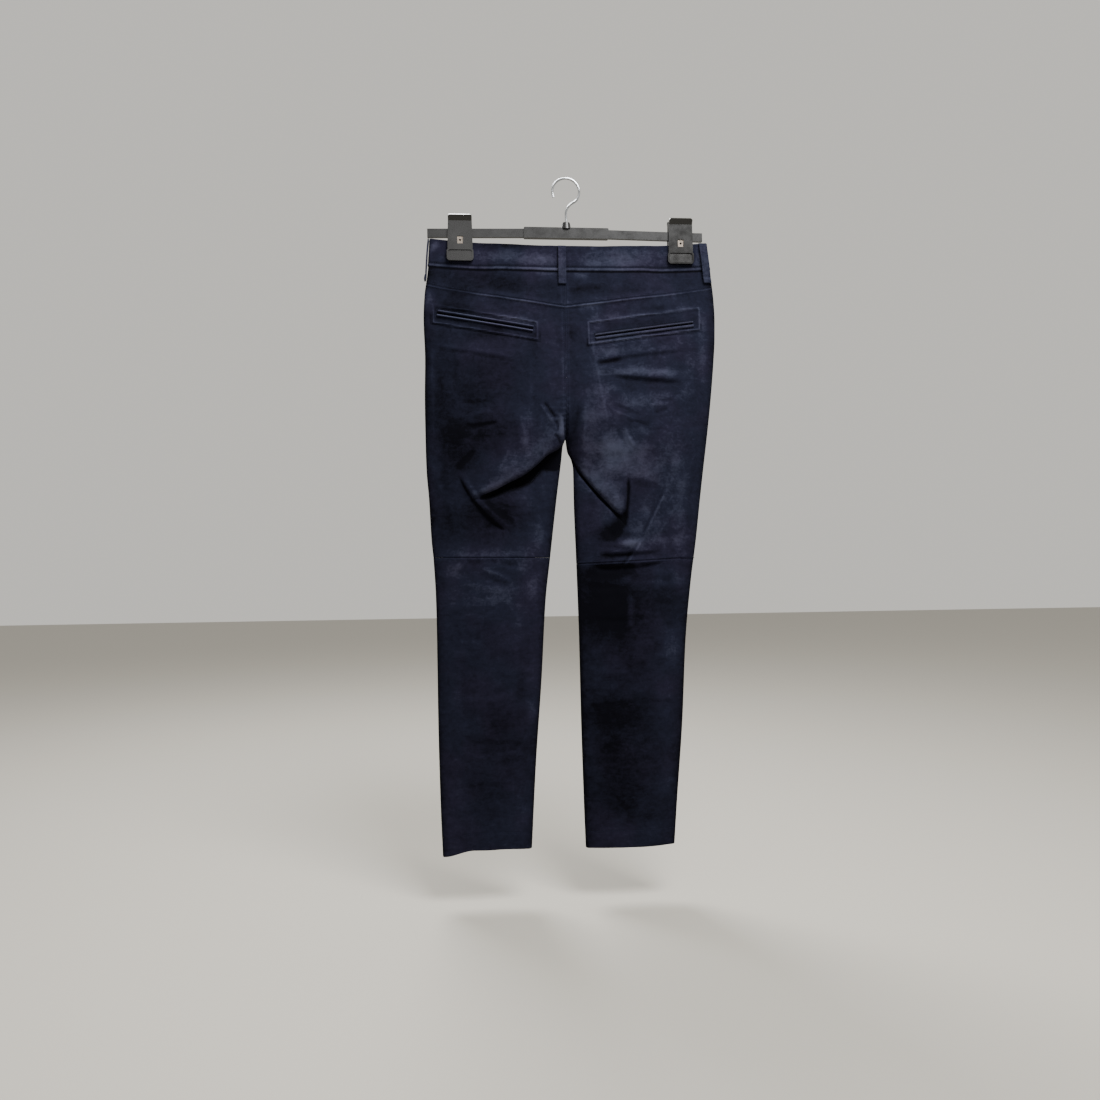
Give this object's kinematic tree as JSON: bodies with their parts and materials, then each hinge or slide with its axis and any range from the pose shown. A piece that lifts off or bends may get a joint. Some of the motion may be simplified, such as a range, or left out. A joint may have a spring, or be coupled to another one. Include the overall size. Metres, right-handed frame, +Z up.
{
  "type": "leather trousers on a clip hanger",
  "caption": "Slim suede trousers hanging by the waistband from a clip hanger with a wire hook, back outwards, rumpled at the crotch and knees.",
  "frame": {"origin": "underside of the hook's arch, where a rail carries the hanger", "axes": "+Z up; -Y the side the back of the trousers faces; -X the wearer's left"},
  "size_m": [0.4543, 0.0503, 1.047],
  "materials": {
    "suede": "brushed nap, very dark navy",
    "hanger_plastic": "moulded black, slight sheen",
    "wire": "plated wire",
    "spring": "sprung strip",
    "button": "dark, polished"
  },
  "bodies": {
    "root": {"back_lower_left": "suede", "back_lower_right": "suede", "back_upper_left": "suede", "back_upper_right": "suede", "clip_left_jaw_back": "hanger_plastic", "clip_left_jaw_front": "hanger_plastic", "clip_left_spring": "spring", "clip_right_jaw_back": "hanger_plastic", "clip_right_jaw_front": "hanger_plastic", "clip_right_spring": "spring", "front_lower_left": "suede", "front_lower_right": "suede", "front_upper_left": "suede", "front_upper_right": "suede", "hanger_bar": "hanger_plastic", "hanger_hook": "wire", "loop_centre_back": "suede", "loop_front_left": "suede", "loop_front_right": "suede", "loop_left": "suede", "loop_right": "suede", "waist_button": "button", "waistband_left": "suede", "waistband_right": "suede", "welt_left_lower": "suede", "welt_left_upper": "suede", "welt_right_lower": "suede", "welt_right_upper": "suede", "yoke_left": "suede", "yoke_right": "suede"}
  },
  "joints": []
}
